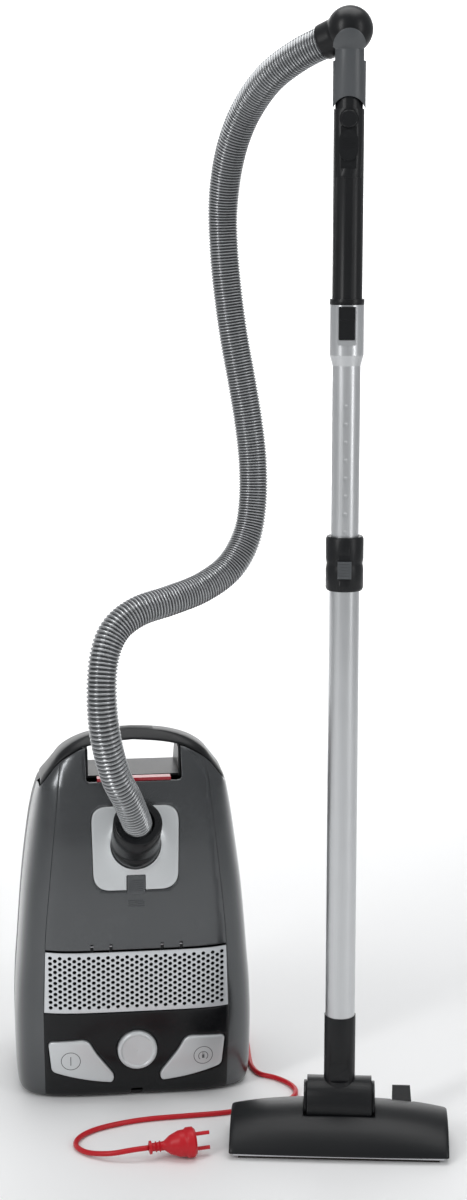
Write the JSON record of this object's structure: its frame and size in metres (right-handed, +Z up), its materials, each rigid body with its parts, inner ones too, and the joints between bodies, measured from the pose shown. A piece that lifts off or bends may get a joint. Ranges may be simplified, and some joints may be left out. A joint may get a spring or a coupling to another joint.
{
  "type": "canister vacuum cleaner",
  "caption": "Canister vacuum cleaner parked on its rear end, with corrugated hose, telescopic wand, floor nozzle and mains cord.",
  "frame": {"origin": "on the floor, at the centre of the middle parking foot under the canister", "axes": "+Z up; the canister's lid side, its front, faces -Y; +X to the right seen from the front"},
  "size_m": [0.5217, 0.5137, 1.334],
  "materials": {
    "black_shell": "fine texture",
    "grey_metallic": "metallic grey, satin",
    "panel_black": "satin black",
    "silver_plastic": "metallic silver, satin",
    "grille_silver": "satin silver",
    "wand_black": "satin",
    "cover_grey": "satin grey",
    "rubber": "matt",
    "steel": "brushed",
    "tube_aluminium": "anodised",
    "hose_grey": "semi gloss",
    "red_plastic": "gloss",
    "red_cord": "satin",
    "copper": "wound",
    "filter_white": "fleece",
    "filter_grey": "foam",
    "board_green": "lacquer",
    "bag_paper": "fleece",
    "bristle": "bristles"
  },
  "bodies": {
    "canister": {"base_shell": "black_shell", "left_side_cover": "grey_metallic", "right_side_cover": "grey_metallic", "control_panel": "panel_black", "exhaust_grille": "grille_silver", "front_bumper": "black_shell", "handle_liner": "black_shell", "bulkhead": "black_shell", "lid_pins": "steel", "park_feet": "rubber", "casing_screws": "steel", "wheel_wells": "black_shell", "wheel_axles": "steel", "motor_can": "steel", "motor_core": "copper", "motor_mounts": "rubber", "motor_filter": "filter_white", "exhaust_filter": "filter_grey", "reel_spindle": "steel", "circuit_board": "board_green", "dust_bag": "bag_paper", "bag_frame": "bag_paper", "hose": "hose_grey", "elbow_ball": "wand_black", "strain_relief": "red_cord", "cord": "red_cord", "plug": "red_cord"},
    "lid": {"lid": "grey_metallic", "inlet_plate": "silver_plastic"},
    "lid_latch": {"lid_latch": "red_plastic"},
    "hose_release": {"hose_release": "cover_grey"},
    "hose_cuff": {"hose_cuff": "panel_black"},
    "power_pedal": {"power_pedal": "silver_plastic"},
    "rewind_pedal": {"rewind_pedal": "silver_plastic"},
    "suction_knob": {"suction_knob": "silver_plastic"},
    "left_wheel": {"left_wheel": "rubber"},
    "right_wheel": {"right_wheel": "rubber"},
    "castor_fork": {"castor_fork": "black_shell"},
    "castor_wheel": {"castor_wheel": "rubber"},
    "impeller": {"impeller": "steel"},
    "cord_reel": {"cord_reel": "black_shell", "wound_cord": "red_cord"},
    "handle": {"handle_cover": "cover_grey", "handle_grip": "wand_black", "regulator_cap": "wand_black", "inner_tube": "tube_aluminium"},
    "regulator_slide": {"regulator_slide": "wand_black"},
    "wand_latch": {"wand_latch": "cover_grey"},
    "outer_wand": {"telescope_sleeve": "wand_black", "outer_tube": "tube_aluminium"},
    "sleeve_release": {"sleeve_release": "cover_grey"},
    "nozzle_neck": {"nozzle_neck": "wand_black"},
    "nozzle": {"nozzle_housing": "wand_black", "nozzle_cradle": "wand_black", "nozzle_sole": "steel", "pivot_pins": "steel"},
    "brush_strips": {"brush_strips": "bristle"},
    "nozzle_pedal": {"nozzle_pedal": "wand_black"},
    "rear_rollers": {"rear_rollers": "rubber"},
    "front_rollers": {"front_rollers": "rubber"}
  },
  "joints": [
    {"name": "lid_hinge", "type": "hinge", "parent": "canister", "child": "lid", "pos_m": [0, -0.1099, 0.2085], "axis": [1, 0, 0], "range_deg": [0, 60], "deforming": ["hose"]},
    {"name": "lid_latch_press", "type": "slide", "parent": "lid", "child": "lid_latch", "axis": [0, 1, 0], "range_m": [0, 0.003], "stiffness_N_per_m": 300},
    {"name": "hose_release_press", "type": "slide", "parent": "lid", "child": "hose_release", "axis": [0, 1, 0], "range_m": [0, 0.003], "stiffness_N_per_m": 300},
    {"name": "hose_cuff_swivel", "type": "hinge", "parent": "lid", "child": "hose_cuff", "pos_m": [0, -0.108, 0.342], "axis": [0, -0.766, 0.6428], "continuous": true},
    {"name": "power_pedal_press", "type": "slide", "parent": "canister", "child": "power_pedal", "axis": [0, 1, 0], "range_m": [0, 0.003], "stiffness_N_per_m": 300},
    {"name": "rewind_pedal_press", "type": "slide", "parent": "canister", "child": "rewind_pedal", "axis": [0, 1, 0], "range_m": [0, 0.003], "stiffness_N_per_m": 300},
    {"name": "suction_knob_turn", "type": "hinge", "parent": "canister", "child": "suction_knob", "pos_m": [0, -0.108, 0.07], "axis": [0, -1, 0], "range_deg": [-135, 135]},
    {"name": "left_wheel_spin", "type": "hinge", "parent": "canister", "child": "left_wheel", "pos_m": [-0.127, 0.078, 0.075], "axis": [1, 0, 0], "continuous": true},
    {"name": "right_wheel_spin", "type": "hinge", "parent": "canister", "child": "right_wheel", "pos_m": [0.127, 0.078, 0.075], "axis": [1, 0, 0], "continuous": true},
    {"name": "castor_swivel", "type": "hinge", "parent": "canister", "child": "castor_fork", "pos_m": [0, 0.098, 0.3], "axis": [0, 1, 0], "continuous": true},
    {"name": "castor_wheel_spin", "type": "hinge", "parent": "castor_fork", "child": "castor_wheel", "pos_m": [0, 0.1083, 0.29], "axis": [1, 0, 0], "continuous": true},
    {"name": "impeller_spin", "type": "hinge", "parent": "canister", "child": "impeller", "pos_m": [-0.05, 0.01, 0.13], "axis": [0, 0, 1], "continuous": true},
    {"name": "cord_reel_spin", "type": "hinge", "parent": "canister", "child": "cord_reel", "pos_m": [0.078, 0.014, 0.146], "axis": [0, 0, 1], "continuous": true},
    {"name": "handle_swivel", "type": "hinge", "parent": "canister", "child": "handle", "pos_m": [0.236, -0.241, 1.308], "axis": [0, 0, 1], "range_deg": [0, 40]},
    {"name": "regulator_slide", "type": "slide", "parent": "handle", "child": "regulator_slide", "axis": [0, 0, -1], "range_m": [0, 0.0075]},
    {"name": "wand_latch_press", "type": "slide", "parent": "handle", "child": "wand_latch", "axis": [0.1736, 0.9848, 0], "range_m": [0, 0.0015], "stiffness_N_per_m": 300},
    {"name": "telescope", "type": "slide", "parent": "handle", "child": "outer_wand", "axis": [0, 0, 1], "range_m": [0, 0.165]},
    {"name": "sleeve_release_slide", "type": "slide", "parent": "outer_wand", "child": "sleeve_release", "axis": [0, 0, 1], "range_m": [0, 0.005], "stiffness_N_per_m": 300},
    {"name": "neck_swivel", "type": "hinge", "parent": "outer_wand", "child": "nozzle_neck", "pos_m": [0.236, -0.241, 0.17], "axis": [0, 0, 1], "range_deg": [-3, 45]},
    {"name": "nozzle_tilt", "type": "hinge", "parent": "nozzle_neck", "child": "nozzle", "pos_m": [0.236, -0.241, 0.046], "axis": [0.9848, -0.1736, 0], "range_deg": [0, 60]},
    {"name": "brush_lift", "type": "slide", "parent": "nozzle", "child": "brush_strips", "axis": [0, 0, 1], "range_m": [0, 0.004]},
    {"name": "pedal_press", "type": "hinge", "parent": "nozzle", "child": "nozzle_pedal", "pos_m": [0.23947, -0.2213, 0.0335], "axis": [0.9848, -0.1736, 0], "range_deg": [-8, 0]},
    {"name": "rear_rollers_spin", "type": "hinge", "parent": "nozzle", "child": "rear_rollers", "pos_m": [0.24091, -0.21313, 0.0075], "axis": [0.9848, -0.1736, 0], "continuous": true},
    {"name": "front_rollers_spin", "type": "hinge", "parent": "nozzle", "child": "front_rollers", "pos_m": [0.22819, -0.28532, 0.009], "axis": [0.9848, -0.1736, 0], "continuous": true}
  ],
  "couplings": [
    {"joint": "pedal_press", "follows": "brush_lift", "rad_per_m": -34.9}
  ]
}
